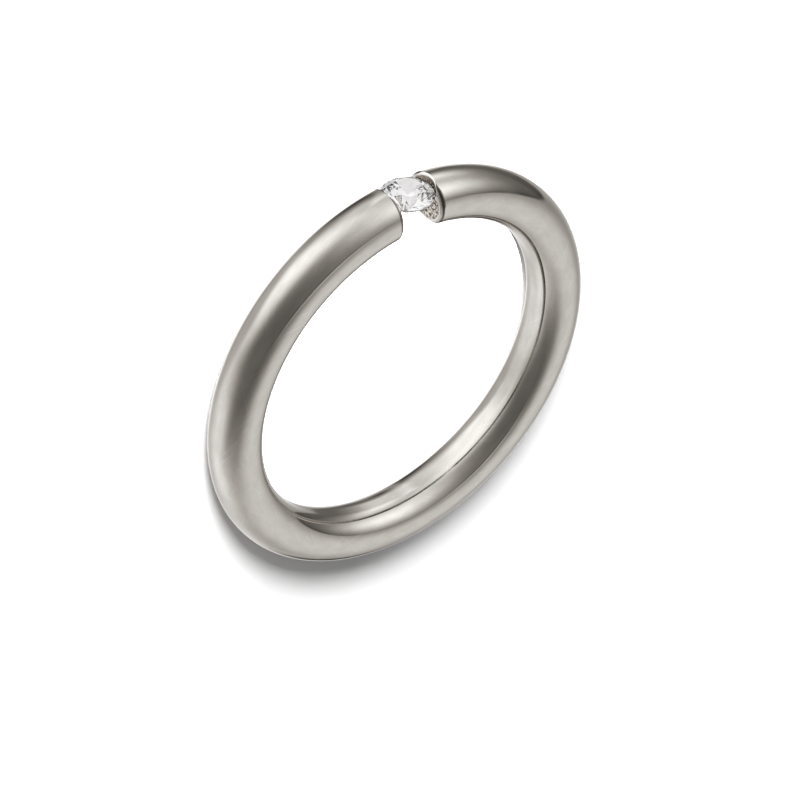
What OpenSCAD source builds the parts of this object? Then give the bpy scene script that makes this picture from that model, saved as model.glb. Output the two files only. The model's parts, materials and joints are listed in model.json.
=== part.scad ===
// Tension-set ring lying on its side: an open ring of round wire whose two sawn
// ends grip one round brilliant stone by its girdle.
// Millimetres. The ring's axis is +Z, the surface it lies on is z = 0, the origin is
// under the middle of the finger hole, and the gap with the stone faces -Y.

/* [Band] */
// Inner diameter, across the finger hole (ISO 58, US 8 1/2)
finger_d = 18.5; // [15:0.1:22]
// Width of the band along the ring's axis, the diameter of the wire
wire_d = 3.0; // [2.8:0.05:4]
// Radius of the two rounded corners of the band's inner half
inner_corner_r = 1.26; // [1:0.02:1.38]

/* [Ends] */
// Distance between the two sawn end faces
gap = 2.38; // [1.6:0.02:2.6]
// Width of the eased edge around each end face
ease = 0.18; // [0.05:0.01:0.3]

/* [Stone] */
// Diameter of the stone at its girdle
stone_d = 2.9; // [2.8:0.02:3]
// Distance from the ring's axis to the middle of the girdle, above the finger's side
girdle_above_finger = 2.01; // [1.9:0.01:2.05]
// Thickness of the girdle where the main facets meet it
girdle_t = 0.10; // [0.06:0.01:0.16]
// Width of the table across its corners, as a share of the stone's diameter
table_share = 0.57; // [0.5:0.01:0.65]
// Angle of the crown's main facets
crown_angle = 36; // [30:0.5:37]
// Angle of the pavilion's main facets
pavilion_angle = 40; // [39:0.5:43]
// How far each main facet bites into the girdle at its tip
main_bite = 0.01; // [0.006:0.001:0.02]
// How far the star facets reach from the table's corner towards the girdle
star_share = 0.52; // [0.4:0.01:0.6]
// How far the lower girdle facets reach from the girdle towards the culet
lower_share = 0.78; // [0.7:0.01:0.85]
// How far the stone is turned about its own axis
stone_turn = 22.5; // [0:0.5:45]
// Clearance between the stone and its seat
seat_clear = 0.03; // [0.02:0.005:0.05]

/* [Hidden] */
$fn = 128;

wire_r = wire_d / 2;
finger_r = finger_d / 2;
// distance from the ring's axis to the centre of the wire
centre_r = finger_r + inner_corner_r;
outer_r = centre_r + wire_r;
// distance of the wire's centre from the X axis at the eased edges
end_y = sqrt(pow(centre_r, 2) - pow(gap / 2 + ease / 2, 2));
// half of the flat strip along the finger's side
flat_half = wire_r - inner_corner_r;
girdle_r = stone_d / 2;
girdle_rho = finger_r + girdle_above_finger;
main_r = girdle_r - main_bite;

// crown: corner of the table, its height over the girdle's upper edge, and the point
// where main, star and upper girdle facets meet, on the radius halfway between mains
table_r = table_share * girdle_r;
table_h = tan(crown_angle) * (main_r - table_r);
star_r = table_r * cos(22.5) + star_share * (girdle_r - table_r * cos(22.5));
star_h = tan(crown_angle) * (main_r - star_r * cos(22.5));
star_angle = atan((table_h - star_h) / (star_r - table_r * cos(22.5)));
upper_angle = atan(star_h / (cos(11.25) * (girdle_r - star_r)));
// pavilion: where two mains and two lower girdle facets meet
lower_r = (1 - lower_share) * girdle_r;
lower_h = tan(pavilion_angle) * (main_r - lower_r * cos(22.5));
lower_angle = atan(lower_h / (cos(11.25) * (girdle_r - lower_r)));
pavilion_h = tan(pavilion_angle) * main_r;

// Every facet as [angle around the stone, lean from the girdle's plane, radius and
// height over the girdle's edge that it passes through, +1 crown or -1 pavilion]
chord_r = girdle_r * cos(11.25);
FACETS = [
  for (k = [0:7]) each [
    [45 * k, crown_angle, main_r, 0, 1],
    [45 * k, pavilion_angle, main_r, 0, -1],
    [45 * k + 22.5, star_angle, table_r * cos(22.5), table_h, 1],
    for (s = [-1, 1]) each [
      [45 * k + s * 11.25, upper_angle, chord_r, 0, 1],
      [45 * k + s * 11.25, lower_angle, chord_r, 0, -1]
    ]
  ]
];

echo(outer_d = 2 * outer_r, table_at = girdle_rho + girdle_t / 2 + table_h,
     culet_at = girdle_rho - girdle_t / 2 - pavilion_h,
     star_angle = star_angle, upper_angle = upper_angle, lower_angle = lower_angle);

// Section of the band, drawn at its distance from the ring's axis: a half circle
// outside, and two quarter circles with a short flat between them inside.
module section() {
  intersection() {
    translate([centre_r, 0]) circle(r = wire_r);
    translate([centre_r, -wire_r]) square([wire_r, wire_d]);
  }
  for (s = [-1, 1])
    intersection() {
      translate([centre_r, s * flat_half]) circle(r = inner_corner_r);
      translate([finger_r, s > 0 ? flat_half : -wire_r])
        square([inner_corner_r, inner_corner_r]);
    }
  translate([finger_r, -flat_half]) square([inner_corner_r, 2 * flat_half]);
}

// Everything between the two ends, with the eased edge of each end face turned on a
// cone around the wire, so the wire's corner is gone and not its whole end.
module gap_cut() {
  long = 4 * wire_r;
  past = 2 * ease;
  difference() {
    translate([-gap / 2 - past, -centre_r - long / 2, -long / 2])
      cube([gap + 2 * past, long, long]);
    for (s = [-1, 1])
      translate([s * gap / 2, -end_y, 0])
        rotate([0, s * 90, 0])
          cylinder(h = 3 * ease, r1 = wire_r - ease, r2 = wire_r + 2 * ease);
  }
}

// Room for the stone: a round hole from outside down to just under the girdle, and
// a cone under it that follows the pavilion.
module seat_cut() {
  seat_r = girdle_r + seat_clear;
  floor_rho = girdle_rho - girdle_t / 2 - seat_clear;
  deep = seat_r * tan(pavilion_angle);
  translate([0, -floor_rho, 0]) rotate([90, 0, 0]) {
    cylinder(h = wire_d, r = seat_r);
    translate([0, 0, -deep]) cylinder(h = deep, r1 = 0, r2 = seat_r);
  }
}

module band() {
  color([0.72, 0.70, 0.67])
    translate([0, 0, wire_r])
      difference() {
        rotate_extrude() section();
        gap_cut();
        seat_cut();
      }
}

// The room beyond one facet
module beyond(f) {
  big = 4 * girdle_r;
  mirror([0, 0, f[4] > 0 ? 0 : 1])
    rotate([0, 0, f[0]]) translate([f[2], 0, girdle_t / 2 + f[3]]) rotate([0, f[1], 0])
      translate([-big / 2, -big / 2, 0]) cube([big, big, big]);
}

// The rough stone with its first n facets cut, one after the other
module cut_to(n) {
  if (n == 0)
    translate([0, 0, -pavilion_h - girdle_t])
      cylinder(h = pavilion_h + 1.5 * girdle_t + table_h, r = girdle_r);
  else
    difference() {
      cut_to(n - 1);
      beyond(FACETS[n - 1]);
    }
}

module stone() {
  color([0.93, 0.95, 0.97])
    translate([0, -girdle_rho, wire_r])
      rotate([90, 0, 0]) rotate([0, 0, stone_turn])
        cut_to(len(FACETS));
}

band();
stone();
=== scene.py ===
import json
import math

import bmesh
import bpy
import numpy as np
from mathutils import Matrix, Vector

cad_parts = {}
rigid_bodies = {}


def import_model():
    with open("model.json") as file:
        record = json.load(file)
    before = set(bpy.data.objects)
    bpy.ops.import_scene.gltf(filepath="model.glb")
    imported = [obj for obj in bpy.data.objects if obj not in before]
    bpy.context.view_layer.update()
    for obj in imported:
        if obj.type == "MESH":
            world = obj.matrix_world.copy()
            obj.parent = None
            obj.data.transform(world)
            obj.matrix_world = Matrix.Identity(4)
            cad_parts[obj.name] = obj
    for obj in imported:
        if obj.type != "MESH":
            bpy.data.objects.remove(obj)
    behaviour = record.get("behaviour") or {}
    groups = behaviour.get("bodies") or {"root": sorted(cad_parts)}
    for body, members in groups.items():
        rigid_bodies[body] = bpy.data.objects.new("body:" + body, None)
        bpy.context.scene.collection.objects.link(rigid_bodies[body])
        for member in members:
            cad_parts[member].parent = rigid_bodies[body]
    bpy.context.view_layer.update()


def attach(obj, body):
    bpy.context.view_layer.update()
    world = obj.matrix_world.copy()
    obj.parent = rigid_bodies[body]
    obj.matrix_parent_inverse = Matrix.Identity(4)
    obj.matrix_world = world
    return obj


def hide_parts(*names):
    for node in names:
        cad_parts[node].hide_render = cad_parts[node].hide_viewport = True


for o in list(bpy.data.objects):
    bpy.data.objects.remove(o)
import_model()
scene = bpy.context.scene

MM = 0.001

# ---------------------------------------------------------------- sizes, in mm
WIRE_R = 1.5            # outer half of the wire
CORNER_R = 1.26         # the two rounded corners of the inner half
FLAT = WIRE_R - CORNER_R
FINGER_R = 9.25
CENTRE_R = FINGER_R + CORNER_R
FACE_X = 1.19           # the sawn end faces
EASE = 0.18
STONE_R = 1.45
GIRDLE_RHO = 11.26
GIRDLE_T = 0.10
MAIN_R = STONE_R - 0.01
SEAT_R = STONE_R + 0.03
CROWN, PAVILION = math.radians(36), math.radians(40)


# ---------------------------------------------------------------- camera
def add_camera():
    """The photograph's viewing angle, rolled as the photograph is: the ring lies down here."""
    az, el, roll = math.radians(39.1), math.radians(36.70), math.radians(130.615)
    px = 1 / 18990.0      # one pixel of the 800 x 800 frame at the ring's centre, in metres
    dist = 17500 * px
    back = Vector((math.sin(az) * math.cos(el), -math.cos(az) * math.cos(el), math.sin(el)))
    turn = (-back).to_track_quat("-Z", "Y").to_matrix() @ Matrix.Rotation(roll, 3, "Z")
    right, up = turn.col[0], turn.col[1]
    centre = Vector((0, 0, WIRE_R * MM))
    loc = centre - right * (394.98 - 400) * px + up * (363.03 - 400) * px + back * dist
    data = bpy.data.cameras.new("camera")
    data.sensor_width = 36.0
    data.lens = 36.0 * 17500 / 800
    data.clip_start, data.clip_end = 0.05, 20.0
    cam = bpy.data.objects.new("camera", data)
    cam.matrix_world = Matrix.Translation(loc) @ turn.to_4x4()
    scene.collection.objects.link(cam)
    scene.camera = cam
    return back


back = add_camera()


# ---------------------------------------------------------------- the band's mesh
def section(n_out=84, n_corner=38, n_flat=4):
    """Points around the wire: distance from its centre outwards and upwards, and the normal there.
    Starts at the top, goes round the outside, and comes back along the finger's side."""
    pts = []
    for i in range(n_out):
        a = math.pi / 2 - math.pi * i / n_out
        pts.append((0, a))
    for i in range(n_corner):
        a = -math.pi / 2 - math.pi / 2 * i / n_corner
        pts.append((-1, a))
    for i in range(n_flat):
        pts.append((2 + i / n_flat, math.pi))
    for i in range(n_corner):
        a = math.pi - math.pi / 2 * i / n_corner
        pts.append((1, a))
    return pts


SECTION = section()


def section_point(p, inset):
    """(distance from the ring's axis, height over the middle plane) and the outward normal."""
    kind, a = p
    if kind == 0:
        r = WIRE_R - inset
        return CENTRE_R + r * math.cos(a), r * math.sin(a), math.cos(a), math.sin(a)
    r = CORNER_R - inset
    if kind >= 2:
        return CENTRE_R - r, -FLAT + 2 * FLAT * (kind - 2), -1.0, 0.0
    s = FLAT if kind > 0 else -FLAT
    return CENTRE_R + r * math.cos(a), s + r * math.sin(a), math.cos(a), math.sin(a)


def ease_profile():
    """(inset, x) from the wire's surface to the end face: a 45 degree flat with softened corners."""
    def bez(a, b, c, n):
        out = []
        for i in range(n + 1):
            t = i / n
            out.append(tuple((1 - t) ** 2 * a[k] + 2 * t * (1 - t) * b[k] + t * t * c[k] for k in (0, 1)))
        return out
    x0, x1 = FACE_X + EASE, FACE_X
    first = bez((0, x0 + 0.05), (0, x0), (0.035, x0 - 0.035), 5)
    last = bez((EASE - 0.035, x1 + 0.035), (EASE, x1), (EASE + 0.05, x1), 5)
    return first + last


def make_band():
    prof = ease_profile()
    n_sweep, n = 480, len(SECTION)
    verts, rows = [], []

    def add_row(points):
        rows.append(list(range(len(verts), len(verts) + n)))
        verts.extend(points)

    def end_row(inset, x, sign):
        out = []
        for p in SECTION:
            rho, z, _, _ = section_point(p, inset)
            out.append((sign * x, -math.sqrt(rho * rho - x * x), z))
        return out

    # from the +X end face round the ring to the -X end face
    for inset, x in reversed(prof):
        add_row(end_row(inset, x, 1))
    x0 = prof[0][1]
    for k in range(1, n_sweep):
        t = k / n_sweep
        out = []
        for p in SECTION:
            rho, z, _, _ = section_point(p, 0)
            e = math.asin(x0 / rho)
            th = e + (2 * math.pi - 2 * e) * t
            out.append((rho * math.sin(th), -rho * math.cos(th), z))
        add_row(out)
    for inset, x in prof:
        add_row(end_row(inset, x, -1))

    bm = bmesh.new()
    bv = [bm.verts.new(v) for v in verts]
    for a, b in zip(rows[:-1], rows[1:]):
        for i in range(n):
            j = (i + 1) % n
            bm.faces.new((bv[a[i]], bv[a[j]], bv[b[j]], bv[b[i]]))
    caps = [bm.faces.new([bv[i] for i in rows[0]]), bm.faces.new([bv[i] for i in reversed(rows[-1])])]
    for f in caps:
        f.material_index = 1
    bmesh.ops.recalc_face_normals(bm, faces=bm.faces)
    me = bpy.data.meshes.new("band_metal")
    bm.to_mesh(me)
    bm.free()
    return bpy.data.objects.new("band_metal", me)


def make_seat_cutter():
    """A round hole from outside to just under the girdle, and a cone that follows the pavilion."""
    floor = GIRDLE_RHO - GIRDLE_T / 2 - 0.03
    deep = SEAT_R * math.tan(PAVILION)
    n = 160
    bm = bmesh.new()
    rings = []
    for rho in (13.0, floor):
        rings.append([bm.verts.new((SEAT_R * math.cos(2 * math.pi * i / n), -rho, SEAT_R * math.sin(2 * math.pi * i / n))) for i in range(n)])
    tip = bm.verts.new((0, -(floor - deep), 0))
    for i in range(n):
        j = (i + 1) % n
        bm.faces.new((rings[0][i], rings[0][j], rings[1][j], rings[1][i]))
        bm.faces.new((rings[1][i], rings[1][j], tip))
    bm.faces.new(rings[0])
    for f in bm.faces:
        f.material_index = 2
    bmesh.ops.recalc_face_normals(bm, faces=bm.faces)
    me = bpy.data.meshes.new("seat")
    bm.to_mesh(me)
    bm.free()
    return bpy.data.objects.new("seat", me)


def band_normals(me):
    """Exact normals: the wire's own on its surface, the flat's or the seat's own elsewhere."""
    me.calc_loop_triangles()
    co = np.empty(len(me.vertices) * 3)
    me.vertices.foreach_get("co", co)
    co = co.reshape(-1, 3)
    lv = np.empty(len(me.loops), int)
    me.loops.foreach_get("vertex_index", lv)
    P = co[lv]
    counts = np.empty(len(me.polygons), int)
    me.polygons.foreach_get("loop_total", counts)
    mat = np.empty(len(me.polygons), int)
    me.polygons.foreach_get("material_index", mat)
    pn = np.empty(len(me.polygons) * 3)
    me.polygons.foreach_get("normal", pn)
    pn = pn.reshape(-1, 3)
    poly = np.repeat(np.arange(len(counts)), counts)
    m, fn = mat[poly], pn[poly]
    out = fn.copy()
    # the wire's surface and its eased edges
    rho = np.hypot(P[:, 0], P[:, 1])
    er = np.stack([P[:, 0] / rho, P[:, 1] / rho, 0 * rho], 1)
    x, z = rho - CENTRE_R, P[:, 2]
    flat = np.abs(z) < FLAT
    zz = np.where(x >= 0, z, np.where(flat, 0, z - np.sign(z) * FLAT))
    length = np.maximum(np.hypot(x, zz), 1e-9)
    wire = er * (x / length)[:, None]
    wire[:, 2] = zz / length
    inset = np.where(x >= 0, WIRE_R, CORNER_R) - length
    prof = np.array(ease_profile())
    ax = np.abs(P[:, 0])
    at_end = (P[:, 1] < 0) & (ax < prof[0][1] + 1e-4)
    # slope of the eased profile: how much of the normal points along the gap
    d = np.diff(prof, axis=0)
    ang_seg = np.arctan2(d[:, 0], -d[:, 1])
    ang = np.concatenate([[0], (ang_seg[1:] + ang_seg[:-1]) / 2, [math.pi / 2]])
    k = np.argmin((prof[None, :, 0] - inset[:, None]) ** 2 + (prof[None, :, 1] - ax[:, None]) ** 2, 1)
    near = at_end & (m == 0)
    a = ang[k]
    # the section's normal in the plane x = const, for the eased rows
    yn = np.stack([0 * rho, np.sign(P[:, 1]) * 1.0, 0 * rho], 1)
    flatn = yn * (x / length)[:, None]
    flatn[:, 2] = zz / length
    eased = flatn * np.cos(a)[:, None]
    eased[:, 0] = -np.sign(P[:, 0]) * np.sin(a)
    first = near & (k == 0)
    use = near & ~first
    out[m == 0] = wire[m == 0]
    out[use] = eased[use]
    # the seat's cylinder
    q = m == 2
    cyl = q & (np.abs(fn[:, 1]) < 0.2)
    rad = np.hypot(P[:, 0], P[:, 2])
    out[cyl] = -np.stack([P[:, 0] / rad, 0 * rad, P[:, 2] / rad], 1)[cyl]
    out /= np.linalg.norm(out, axis=1)[:, None]
    # never turn a corner's normal far from its face
    bad = (out * fn).sum(1) < 0.6
    out[bad] = fn[bad]
    me.normals_split_custom_set([tuple(v) for v in out])


def apply_modifiers(obj):
    bpy.context.view_layer.update()
    dg = bpy.context.evaluated_depsgraph_get()
    me = bpy.data.meshes.new_from_object(obj.evaluated_get(dg), preserve_all_data_layers=True, depsgraph=dg)
    obj.modifiers.clear()
    old = obj.data
    obj.data = me
    bpy.data.meshes.remove(old)
    return obj


band = make_band()
scene.collection.objects.link(band)
cutter = make_seat_cutter()
scene.collection.objects.link(cutter)
for o in (band, cutter):
    for k in range(3):
        o.data.materials.append(None)
for i, name in enumerate(("polished_metal", "sawn_metal", "seat_metal")):
    mat = bpy.data.materials.new(name)
    band.data.materials[i] = mat
    cutter.data.materials[i] = mat
mod = band.modifiers.new("seat", "BOOLEAN")
mod.operation, mod.solver, mod.object = "DIFFERENCE", "EXACT", cutter
mod.material_mode = "INDEX"
apply_modifiers(band)
bpy.data.objects.remove(cutter)
# the cut can leave two points on one spot
bm = bmesh.new()
bm.from_mesh(band.data)
bmesh.ops.remove_doubles(bm, verts=bm.verts[:], dist=2e-4)
bmesh.ops.dissolve_degenerate(bm, edges=bm.edges[:], dist=1e-5)
bm.to_mesh(band.data)
bm.free()
band.data.name = "band_metal"
for p in band.data.polygons:
    p.use_smooth = True
band_normals(band.data)
band.data.transform(Matrix.Translation((0, 0, WIRE_R * MM)) @ Matrix.Scale(MM, 4))


# ---------------------------------------------------------------- the stone's mesh
def make_stone(turn=0.0):
    """Round brilliant, cut one facet at a time from a round blank. Table towards +Z here."""
    t = GIRDLE_T / 2
    table_r = 0.57 * STONE_R
    table_h = math.tan(CROWN) * (MAIN_R - table_r)
    c22, c11 = math.cos(math.radians(22.5)), math.cos(math.radians(11.25))
    star_r = table_r * c22 + 0.52 * (STONE_R - table_r * c22)
    star_h = math.tan(CROWN) * (MAIN_R - star_r * c22)
    star = math.atan((table_h - star_h) / (star_r - table_r * c22))
    upper = math.atan(star_h / (c11 * (STONE_R - star_r)))
    lower_r = 0.22 * STONE_R
    lower_h = math.tan(PAVILION) * (MAIN_R - lower_r * c22)
    lower = math.atan(lower_h / (c11 * (STONE_R - lower_r)))
    deep = math.tan(PAVILION) * MAIN_R
    cuts = []
    for k in range(8):
        cuts += [(45 * k, CROWN, MAIN_R, 0, 1), (45 * k, PAVILION, MAIN_R, 0, -1),
                 (45 * k + 22.5, star, table_r * c22, table_h, 1)]
        for s in (-1, 1):
            cuts += [(45 * k + s * 11.25, upper, STONE_R * c11, 0, 1), (45 * k + s * 11.25, lower, STONE_R * c11, 0, -1)]
    bm = bmesh.new()
    n = 192
    top = [bm.verts.new((STONE_R * math.cos(2 * math.pi * i / n), STONE_R * math.sin(2 * math.pi * i / n), t + table_h)) for i in range(n)]
    low = [bm.verts.new((v.co.x, v.co.y, -t - deep - 0.02)) for v in top]
    for i in range(n):
        j = (i + 1) % n
        bm.faces.new((low[i], low[j], top[j], top[i]))
    bm.faces.new(top)
    bm.faces.new(list(reversed(low)))
    for az, lean, r, h, side in cuts:
        a = math.radians(az + turn)
        no = Vector((math.sin(lean) * math.cos(a), math.sin(lean) * math.sin(a), side * math.cos(lean)))
        co = Vector((r * math.cos(a), r * math.sin(a), side * (t + h)))
        geom = bm.verts[:] + bm.edges[:] + bm.faces[:]
        got = bmesh.ops.bisect_plane(bm, geom=geom, plane_co=co, plane_no=no, clear_outer=True, dist=1e-6)
        edges = [e for e in got["geom_cut"] if isinstance(e, bmesh.types.BMEdge)]
        bmesh.ops.contextual_create(bm, geom=edges)
    bmesh.ops.remove_doubles(bm, verts=bm.verts, dist=2e-5)
    bmesh.ops.recalc_face_normals(bm, faces=bm.faces)
    for f in bm.faces:
        f.smooth = abs(f.normal.z) < 0.02
    for e in bm.edges:
        e.smooth = len(e.link_faces) == 2 and all(f.smooth for f in e.link_faces)
    me = bpy.data.meshes.new("stone_cz")
    bm.to_mesh(me)
    bm.free()
    # table outwards, along -Y
    me.transform(Matrix.Translation((0, -GIRDLE_RHO * MM, WIRE_R * MM)) @ Matrix.Scale(MM, 4) @ Matrix.Rotation(math.pi / 2, 4, "X"))
    return bpy.data.objects.new("stone_cz", me)


stone = make_stone(turn=22.5)
scene.collection.objects.link(stone)

# ---------------------------------------------------------------- studio
# The room that the metal mirrors: two plain grey halves that meet at a bowed horizon, crisp
# on one side and soft on the other, and soft-edged grey cards hung over each half. A card
# covers what is behind it. Azimuth 0 is -Y and 90 is +X, in degrees.
HORIZON = (194.9, 0.59, -0.423, 0.159, 0.406, -0.121)      # azimuth, elevation, then the bow's powers of height
CRISP, SOFT = 1.1, 9.4
LIP, LIP_WIDTH = 0.5, 4.0
ABOVE, BELOW = 0.30, 0.19
WARMTH = 0.075
# half, azimuth, elevation, turn, half width, half height, edge, brightness
CARDS = [
    (0, -77, 42, -3, 53, 31, 2.2, 2.10),        # the big soft box over the left
    (0, 69, -31, 88, 37, 69, 3.4, 1.60),        # the pale table in front
    (0, -85, -59, -89, 7, 52, 7.0, 2.20),       # the table's bright edge
    (0, 69, 40, 21, 31, 80, 1.9, 0.15),         # the dark flag over the right
    (0, -97, -25, 24, 14, 35, 4.9, 0.20),       # the dark flag down on the left
    (0, -118, 44, 39, 35, 79, 3.0, 0.05),       # the dark flag behind
    (0, 89, -69, 20, 19, 31, 4.7, 0.55),        # the table's shade in front
    (0, -37, -34, 40, 15, 21, 2.3, 1.55),       # a small reflector on the left
    (0, -60, -55, -67, 12, 26, 2.0, 0.10),      # and the gap beside it
    (1, -153, -27, 89, 15, 29, 1.6, 0.95),      # the table behind
    (1, -149, 42, 60, 36, 43, 3.7, 0.80),       # the soft box behind
    (1, -141, -58, 1, 19, 17, 3.2, 1.40),       # a small reflector low behind
    (1, 52, 58, -54, 40, 19, 4.6, 2.20),        # the soft box overhead
    (1, 114, 38, 2, 34, 45, 2.8, 0.10),         # the dark flag beside it
    (1, 144, -22, 75, 35, 24, 1.6, 1.15),       # the soft box on the right
    (1, -43, 1, 18, 28, 28, 3.1, 0.25),         # a dark card low on the left
    (1, -156, -17, 0, 9, 9, 3.0, 0.05),         # the dark foot of the table
    (0, -86, -71, 0, 10, 7, 2.5, 0.08),         # the dark gap under the table, on both sides
    (1, -108, -67, 0, 10, 7, 2.5, 0.08),        # of the horizon
]


def direction(az, el):
    a, e = math.radians(az), math.radians(el)
    return Vector((math.sin(a) * math.cos(e), -math.cos(a) * math.cos(e), math.sin(e)))


class Nodes:
    """Short names for the node kinds that are used over and over."""

    def __init__(self, tree):
        self.tree = tree

    def new(self, kind, **props):
        n = self.tree.nodes.new(kind)
        for k, v in props.items():
            setattr(n, k, v)
        return n

    def put(self, socket, value):
        if isinstance(value, bpy.types.NodeSocket):
            self.tree.links.new(value, socket)
        else:
            socket.default_value = value

    def math(self, op, *args, clamp=False):
        n = self.new("ShaderNodeMath", operation=op, use_clamp=clamp)
        for i, a in enumerate(args):
            self.put(n.inputs[i], a)
        return n.outputs[0]

    def vec(self, op, *args, out="Vector"):
        n = self.new("ShaderNodeVectorMath", operation=op)
        for i, a in enumerate(args):
            if op == "SCALE" and i == 1:
                self.put(n.inputs["Scale"], a)
            else:
                self.put(n.inputs[i], a)
        return n.outputs[out]

    def dot(self, a, b):
        return self.vec("DOT_PRODUCT", a, b, out="Value")


def build_world():
    world = bpy.data.worlds.new("studio")
    scene.world = world
    world.use_nodes = True
    tree = world.node_tree
    tree.nodes.clear()
    g = Nodes(tree)
    d = g.new("ShaderNodeTexCoord").outputs["Generated"]
    az, el, k0, k1, k2, k3 = HORIZON
    z = g.dot(d, Vector((0, 0, 1)))
    bow = g.math("MULTIPLY_ADD", z, g.math("MULTIPLY_ADD", z, g.math("MULTIPLY_ADD", z, k3, k2), k1), k0)
    lean = g.math("ADD", g.dot(d, direction(az, el)), bow)
    w = g.math("MULTIPLY_ADD", g.dot(d, direction(85, -20)), 1.5, 0.1, clamp=True)
    soft = g.math("MULTIPLY_ADD", w, SOFT - CRISP, CRISP)
    steep = g.math("MINIMUM", g.math("DIVIDE", g.math("MULTIPLY", lean, -126.0), soft), 60.0)
    low = g.math("DIVIDE", 1.0, g.math("ADD", g.math("EXPONENT", steep), 1.0))
    # the table's edge has a light lip and a thin dark line beside it
    broad = g.math("DIVIDE", 1.0, g.math("ADD", g.math("EXPONENT", g.math("MULTIPLY", steep, 1 / LIP_WIDTH)), 1.0))
    lip = g.math("MULTIPLY", g.math("SUBTRACT", 1.0, w), LIP)
    low = g.math("MULTIPLY_ADD", g.math("SUBTRACT", low, broad), lip, low)
    room = [ABOVE, BELOW]
    for half, az, el, turn, w, h, edge, level in CARDS:
        c = direction(az, el)
        a, e, t = math.radians(az), math.radians(el), math.radians(turn)
        across = Vector((math.cos(a), math.sin(a), 0))
        upward = Vector((-math.sin(a) * math.sin(e), math.cos(a) * math.sin(e), math.cos(e)))
        e1 = (across * math.cos(t) + upward * math.sin(t)) * (math.degrees(1) / w)
        e2 = (-across * math.sin(t) + upward * math.cos(t)) * (math.degrees(1) / h)
        z = g.dot(d, c)
        angle = g.math("ARCCOSINE", g.math("MAXIMUM", g.math("MINIMUM", z, 1.0), -1.0))
        k = g.math("DIVIDE", angle, g.math("MAXIMUM", g.math("SINE", angle), 0.001))
        x = g.math("MULTIPLY", g.dot(d, e1), k)
        y = g.math("MULTIPLY", g.dot(d, e2), k)
        r2 = g.math("ADD", g.math("MULTIPLY", x, x), g.math("MULTIPLY", y, y))
        card = g.math("EXPONENT", g.math("MULTIPLY", g.math("POWER", r2, edge / 2), -0.7))
        room[half] = g.math("MULTIPLY_ADD", card, g.math("SUBTRACT", level, room[half]), room[half])
    grey = g.math("MAXIMUM", g.math("MULTIPLY_ADD", low, g.math("SUBTRACT", room[1], room[0]), room[0]), 0.02)
    # the darker the room, the warmer
    warm = g.math("MULTIPLY", g.math("SUBTRACT", 1.0, g.math("MINIMUM", grey, 1.0)), WARMTH)
    tint = g.new("ShaderNodeCombineXYZ")
    g.put(tint.inputs[0], g.math("ADD", 1.0, warm))
    g.put(tint.inputs[1], 1.0)
    g.put(tint.inputs[2], g.math("SUBTRACT", 1.0, warm))
    total = g.vec("SCALE", tint.outputs[0], grey)
    light = g.new("ShaderNodeLightPath")
    # what the stone gathers through its facets comes from a paler, evener room
    through = light.outputs["Is Transmission Ray"]
    total = g.vec("ADD", g.vec("SCALE", total, g.math("MULTIPLY_ADD", through, -0.73, 1.0)),
                  g.vec("SCALE", (0.70, 0.70, 0.71), through))
    bg = g.new("ShaderNodeBackground")
    g.put(bg.inputs["Color"], total)
    plain = g.new("ShaderNodeBackground")
    plain.inputs["Color"].default_value = (1.0, 1.0, 1.0, 1)
    mix = g.new("ShaderNodeMixShader")
    g.put(mix.inputs[0], light.outputs["Is Camera Ray"])
    g.put(mix.inputs[1], bg.outputs[0])
    g.put(mix.inputs[2], plain.outputs[0])
    out = g.new("ShaderNodeOutputWorld")
    g.put(out.inputs["Surface"], mix.outputs[0])
    world.cycles.sampling_method = "MANUAL"
    world.cycles.sample_map_resolution = 512
    world.cycles_visibility.diffuse = False


build_world()


def soft_light(name, az, el, dist, size, watts, colour=(1, 1, 1)):
    """A round soft panel for the floor alone: the metal mirrors the room instead."""
    data = bpy.data.lights.new(name, "AREA")
    data.shape = "DISK"
    data.size, data.energy, data.color = size, watts, colour
    o = bpy.data.objects.new(name, data)
    to = direction(az, el)
    o.matrix_world = Matrix.Translation(to * dist) @ to.to_track_quat("Z", "Y").to_matrix().to_4x4()
    o.visible_glossy = False
    o.visible_transmission = False
    scene.collection.objects.link(o)
    return o


# the floor's light: a soft key from the top of the picture, a weaker one to its left, a fill
# from the camera's side, and a narrow lamp down the hole, where the floor stays pale
soft_light("key", 21, 29, 0.7, 0.23, 12.2)
soft_light("key_left", -35, 24, 0.5, 0.22, 1.0)
soft_light("fill", 39, 46, 0.6, 0.3, 1.1)


def hole_lamp(az, el, dist, radius, watts):
    data = bpy.data.lights.new("hole_lamp", "SPOT")
    data.energy, data.shadow_soft_size = watts, 0.001
    data.spot_size, data.spot_blend = 2 * math.atan(radius / dist), 0.12
    o = bpy.data.objects.new("hole_lamp", data)
    to = direction(az, el)
    o.matrix_world = Matrix.Translation(to * dist) @ to.to_track_quat("Z", "Y").to_matrix().to_4x4()
    o.visible_glossy = False
    o.visible_transmission = False
    scene.collection.objects.link(o)


hole_lamp(45, 62, 0.5, 0.0100, 45.0)


def add_floor():
    bm = bmesh.new()
    bmesh.ops.create_grid(bm, x_segments=1, y_segments=1, size=1.5)
    me = bpy.data.meshes.new("floor")
    bm.to_mesh(me)
    bm.free()
    o = bpy.data.objects.new("floor", me)
    mat = bpy.data.materials.new("floor")
    mat.use_nodes = True
    b = mat.node_tree.nodes["Principled BSDF"]
    b.inputs["Base Color"].default_value = (0.86, 0.86, 0.86, 1)
    b.inputs["Roughness"].default_value = 0.6
    b.inputs["Specular IOR Level"].default_value = 0.2
    me.materials.append(mat)
    scene.collection.objects.link(o)
    o.visible_glossy = False
    o.visible_transmission = False
    return o


add_floor()
scene.view_settings.view_transform = "Standard"
scene.view_settings.look = "None"
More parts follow.
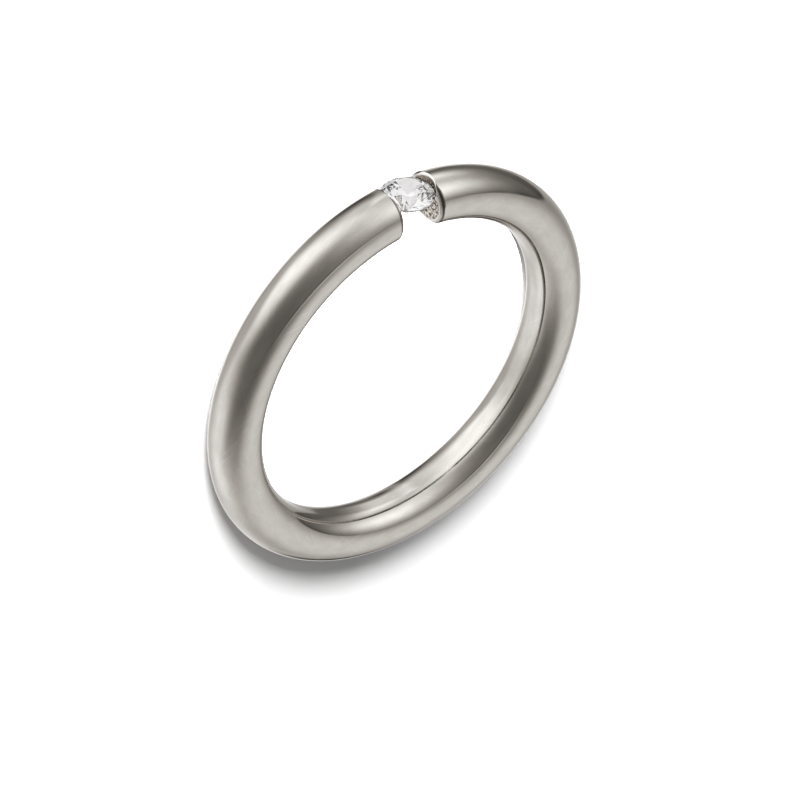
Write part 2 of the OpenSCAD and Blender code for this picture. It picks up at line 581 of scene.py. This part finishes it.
# a brilliant passes light from facet to facet many times before it lets it out
scene.cycles.max_bounces = scene.cycles.transmission_bounces = 32
scene.cycles.glossy_bounces = 8


# ---------------------------------------------------------------- materials
class Surface(Nodes):
    """A material's nodes, with positions in mm along the wire, outwards, up, and around it."""

    def __init__(self, name):
        self.mat = bpy.data.materials.get(name) or bpy.data.materials.new(name)
        self.mat.use_nodes = True
        super().__init__(self.mat.node_tree)
        self.bsdf = self.tree.nodes["Principled BSDF"]
        self.out = self.tree.nodes["Material Output"]
        self.p = self.vec("SCALE", self.new("ShaderNodeTexCoord").outputs["Object"], 1000.0)
        self.x, self.y, self.z = self.split(self.p)
        self.up = self.math("SUBTRACT", self.z, WIRE_R)
        rho = self.math("SQRT", self.math("ADD", self.math("MULTIPLY", self.x, self.x), self.math("MULTIPLY", self.y, self.y)))
        self.rho = rho
        self.outward = self.math("SUBTRACT", rho, CENTRE_R)
        self.along = self.math("MULTIPLY", self.math("ARCTAN2", self.x, self.y), CENTRE_R)
        self.around = self.math("MULTIPLY", self.math("ARCTAN2", self.up, self.outward), WIRE_R)

    def split(self, v):
        n = self.new("ShaderNodeSeparateXYZ")
        self.put(n.inputs[0], v)
        return n.outputs

    def join(self, x, y, z=0.0):
        n = self.new("ShaderNodeCombineXYZ")
        for i, v in enumerate((x, y, z)):
            self.put(n.inputs[i], v)
        return n.outputs[0]

    def wire(self, a, b, shift=0.0):
        """Straightened wire: a per mm along it, b per mm across it."""
        return self.join(self.math("MULTIPLY_ADD", self.along, a, shift),
                         self.math("MULTIPLY", self.outward, b), self.math("MULTIPLY", self.up, b))

    def noise(self, vector, scale=1.0, detail=2.0, rough=0.5, colour=False):
        n = self.new("ShaderNodeTexNoise")
        self.put(n.inputs["Vector"], vector)
        n.inputs["Scale"].default_value = scale
        n.inputs["Detail"].default_value = detail
        n.inputs["Roughness"].default_value = rough
        return n.outputs["Color"] if colour else n.outputs[0]

    def ramp(self, value, a, b, lo=0.0, hi=1.0, smooth=True):
        n = self.new("ShaderNodeMapRange")
        n.interpolation_type = "SMOOTHSTEP" if smooth else "LINEAR"
        n.clamp = True
        self.put(n.inputs["Value"], value)
        for key, v in (("From Min", a), ("From Max", b), ("To Min", lo), ("To Max", hi)):
            self.put(n.inputs[key], v)
        return n.outputs["Result"]

    def mix(self, t, a, b):
        n = self.new("ShaderNodeMix")
        n.data_type = "RGBA"
        self.put(n.inputs["Factor"], t)
        for key, v in (("A", a), ("B", b)):
            sock = [q for q in n.inputs if q.name == key and q.type == "RGBA"][0]
            self.put(sock, v if isinstance(v, bpy.types.NodeSocket) else (*v, 1))
        return [q for q in n.outputs if q.type == "RGBA"][0]

    def add(self, *values):
        total = values[0]
        for v in values[1:]:
            total = self.math("ADD", total, v)
        return total

    def mul(self, *values):
        total = values[0]
        for v in values[1:]:
            total = self.math("MULTIPLY", total, v)
        return total

    def hairlines(self, angle, pitch, length, width, shift):
        """Fine scratches at an angle to the wire: 1 on a scratch, 0 off it."""
        c, s = math.cos(math.radians(angle)), math.sin(math.radians(angle))
        u = self.add(self.mul(self.along, c), self.mul(self.around, s))
        v = self.add(self.mul(self.along, -s), self.mul(self.around, c))
        field = self.noise(self.join(self.mul(u, 1 / length), self.mul(v, 1 / pitch), shift), detail=1.0)
        off = self.math("ABSOLUTE", self.math("SUBTRACT", field, 0.5))
        line = self.ramp(off, 0.0, width, 1.0, 0.0)
        where = self.ramp(self.noise(self.join(self.mul(u, 0.5), self.mul(v, 0.8), shift + 9), detail=1.0), 0.5, 0.62)
        return self.mul(line, where)

    def bump(self, height_mm, strength=1.0):
        n = self.new("ShaderNodeBump")
        n.inputs["Strength"].default_value = strength
        n.inputs["Distance"].default_value = MM
        self.put(n.inputs["Height"], height_mm)
        return n.outputs[0]

    def finish(self, **sockets):
        for key, v in sockets.items():
            sock = self.bsdf.inputs[key.replace("_", " ")]
            if isinstance(v, tuple):
                v = (*v, 1)
            self.put(sock, v)


def polished_metal():
    g = Surface("polished_metal")
    grain = g.noise(g.p, 11.0, 2.0, 0.6)
    wave = g.noise(g.wire(0.5, 0.9), 1.0, 1.0)
    lines = g.noise(g.wire(0.35, 15.0), 1.0, 2.0, 0.6)
    mottle = g.noise(g.wire(0.6, 1.3, 7.0), 1.0, 3.0, 0.55)
    satin = g.ramp(mottle, 0.42, 0.68)
    a = g.hairlines(38, 0.30, 5.0, 0.030, 1.0)
    b = g.hairlines(-24, 0.42, 6.0, 0.022, 4.0)
    c = g.hairlines(4, 0.22, 9.0, 0.024, 7.0)
    scratch = g.add(a, b, c)
    height = g.add(g.mul(grain, g.ramp(satin, 0, 1, 0.00012, 0.00075)), g.mul(wave, 0.0022),
                   g.mul(lines, 0.00010), g.mul(scratch, -0.00032))
    rough = g.add(g.ramp(satin, 0, 1, 0.02, 0.12), g.mul(grain, 0.03), g.mul(scratch, 0.05))
    tint = g.mix(g.ramp(g.noise(g.wire(0.9, 2.0, 3.0), 1.0, 3.0), 0.35, 0.7), (0.685, 0.661, 0.625), (0.632, 0.610, 0.578))
    tint = g.mix(g.mul(scratch, 0.3), tint, (0.80, 0.785, 0.76))
    # the eased edge of each end is tinted near white, a painted highlight, with a painted dark line at its foot
    # standing in for a dark reflection, which is broader outside on one end
    front = g.math("LESS_THAN", g.y, 0.0)
    e = g.math("SUBTRACT", g.math("ABSOLUTE", g.x), FACE_X)
    side = g.ramp(g.x, -0.5, 0.5)
    bevel_highlight = g.mul(g.ramp(e, g.ramp(side, 0, 1, EASE * 0.45, EASE * 0.8), g.ramp(side, 0, 1, EASE * 0.7, EASE * 1.05), 1.0, 0.0), front)
    broad = g.mul(g.math("SUBTRACT", 1.0, side), g.ramp(g.outward, 0.15, 0.45), g.ramp(g.outward, 1.1, 1.3, 1.0, 0.0))
    where = g.add(g.ramp(side, 0, 1, EASE * 0.8, EASE + 0.06), g.mul(broad, 0.03))
    width = g.mul(broad, 0.05)
    foot = g.mul(g.ramp(g.math("ABSOLUTE", g.math("SUBTRACT", e, where)), g.add(width, 0.02), g.add(width, 0.07), 1.0, 0.0), front)
    # painted highlight: the eased edge tinted near white
    tint = g.mix(g.mul(bevel_highlight, 0.85), tint, (0.96, 0.94, 0.91))
    # painted dark reflection: a near-black line at the foot of the eased edge
    tint = g.mix(g.mul(foot, 0.85), tint, (0.12, 0.09, 0.075))
    rough = g.add(rough, g.mul(bevel_highlight, g.ramp(side, 0, 1, 0.42, 0.16)))
    # painted shade: metal seen mirrored in other metal is tinted darker
    seen_in_mirror = g.new("ShaderNodeLightPath").outputs["Is Glossy Ray"]
    tint = g.mix(g.mul(seen_in_mirror, 0.55), tint, (0.16, 0.14, 0.12))
    g.finish(Base_Color=tint, Metallic=1.0, Roughness=rough, Normal=g.bump(height))


def sawn_metal():
    """The two end faces: left coarse from the cut, tinted nearly black in the pits and near white on the high points,
    painted shade and painted glints.
    """
    g = Surface("sawn_metal")
    pits = g.noise(g.p, 9.0, 2.0, 0.6)
    fine = g.noise(g.p, 17.0, 2.0)
    cut = g.noise(g.join(g.mul(g.x, 2.0), g.mul(g.y, 2.0), g.mul(g.z, 22.0)), 1.0, 2.0)
    dark = g.ramp(pits, 0.40, 0.50)
    # painted shade: nearly black down in the pits
    tint = g.mix(dark, (0.045, 0.028, 0.020), (0.60, 0.51, 0.44))
    # painted glints: near white on the high points
    tint = g.mix(g.ramp(pits, 0.53, 0.59), tint, (0.95, 0.94, 0.92))
    # tinted near white along its rim, next to the eased edge: a painted highlight
    section = g.math("GREATER_THAN", g.outward, 0.0)
    flat = g.math("MAXIMUM", g.math("SUBTRACT", g.math("ABSOLUTE", g.up), FLAT), 0.0)
    inner = g.math("SUBTRACT", CORNER_R, g.math("SQRT", g.add(g.mul(flat, flat), g.mul(g.outward, g.outward))))
    outer = g.math("SUBTRACT", WIRE_R, g.math("SQRT", g.add(g.mul(g.up, g.up), g.mul(g.outward, g.outward))))
    depth = g.add(g.mul(section, outer), g.mul(g.math("SUBTRACT", 1.0, section), inner))
    edge = g.ramp(depth, EASE + 0.05, EASE + 0.13, 1.0, 0.0)
    tint = g.mix(edge, tint, (0.97, 0.95, 0.92))
    pits = g.mul(pits, g.math("SUBTRACT", 1.0, g.mul(edge, 0.9)))
    height = g.add(g.mul(pits, 0.014), g.mul(fine, 0.002), g.mul(cut, 0.001))
    g.finish(Base_Color=tint, Metallic=1.0, Roughness=g.ramp(fine, 0.3, 0.7, 0.30, 0.55), Normal=g.bump(height))


def seat_metal():
    """The seat under the stone: turned with a cutter, so it carries its rings, and tinted dark, a painted shade of
    the hollow under the stone.
    """
    g = Surface("seat_metal")
    r = g.math("SQRT", g.add(g.mul(g.x, g.x), g.mul(g.up, g.up)))
    rings = g.noise(g.join(g.mul(r, 14.0), g.mul(g.y, 14.0)), 1.0, 2.0)
    fine = g.noise(g.p, 16.0, 2.0)
    # painted shade: the seat is tinted much darker than the band
    tint = g.mix(g.ramp(rings, 0.35, 0.65), (0.26, 0.22, 0.18), (0.48, 0.43, 0.38))
    # the cut's outer edge is tinted near white, a painted highlight, and a little rounded
    depth = g.math("SUBTRACT", WIRE_R, g.math("SQRT", g.add(g.mul(g.up, g.up), g.mul(g.outward, g.outward))))
    edge = g.ramp(depth, 0.17, 0.25, 1.0, 0.0)
    tint = g.mix(edge, tint, (0.93, 0.90, 0.86))
    height = g.add(g.mul(rings, 0.0022), g.mul(fine, 0.0006), g.ramp(depth, 0.0, 0.17, -0.17, 0.0, smooth=False))
    rough = g.add(g.ramp(fine, 0.3, 0.7, 0.16, 0.30), g.mul(edge, 0.12))
    g.finish(Base_Color=tint, Metallic=1.0, Roughness=rough, Normal=g.bump(height))


def crystal():
    g = Surface("crystal")
    r = g.math("SQRT", g.add(g.mul(g.x, g.x), g.mul(g.up, g.up)))
    girdle = g.ramp(r, STONE_R - 0.012, STONE_R - 0.004)
    haze = g.noise(g.p, 1.6, 2.0)
    rub = g.noise(g.join(g.mul(g.x, 3.0), g.mul(g.y, 22.0), g.mul(g.z, 3.0)), 1.0, 1.0)
    rough = g.add(g.ramp(haze, 0.5, 0.8, 0.0, 0.018), g.mul(girdle, 0.32))
    height = g.add(g.mul(rub, 0.00006), g.mul(g.noise(g.p, 30.0, 1.0), 0.00003))
    tint = g.mix(g.ramp(haze, 0.3, 0.7), (0.985, 0.99, 1.0), (0.995, 0.992, 0.985))
    # the pavilion's facets are tinted greyer, a painted shade, and the girdle is ground and tinted nearly black, a
    # painted dark outline round the stone
    below = g.ramp(g.y, -GIRDLE_RHO + GIRDLE_T / 2, -GIRDLE_RHO + GIRDLE_T / 2 + 0.004)
    # painted shade: the pavilion's facets tinted greyer
    tint = g.mix(below, tint, (0.79, 0.76, 0.755))
    # painted dark outline: the girdle tinted nearly black
    tint = g.mix(girdle, tint, (0.10, 0.09, 0.10))
    g.finish(Base_Color=tint, Roughness=rough, IOR=2.15, Normal=g.bump(height))
    g.bsdf.inputs["Transmission Weight"].default_value = 1.0
    # light passes on through the stone instead of leaving a hard shadow
    clear = g.new("ShaderNodeBsdfTransparent")
    clear.inputs["Color"].default_value = (0.86, 0.86, 0.87, 1)
    both = g.new("ShaderNodeMixShader")
    g.put(both.inputs[0], g.new("ShaderNodeLightPath").outputs["Is Shadow Ray"])
    g.put(both.inputs[1], g.bsdf.outputs[0])
    g.put(both.inputs[2], clear.outputs[0])
    g.put(g.out.inputs["Surface"], both.outputs[0])
    return g.mat


polished_metal()
sawn_metal()
seat_metal()
stone.data.materials.append(crystal())
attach(band, "root")
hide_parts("band")
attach(stone, "root")
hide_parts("stone")
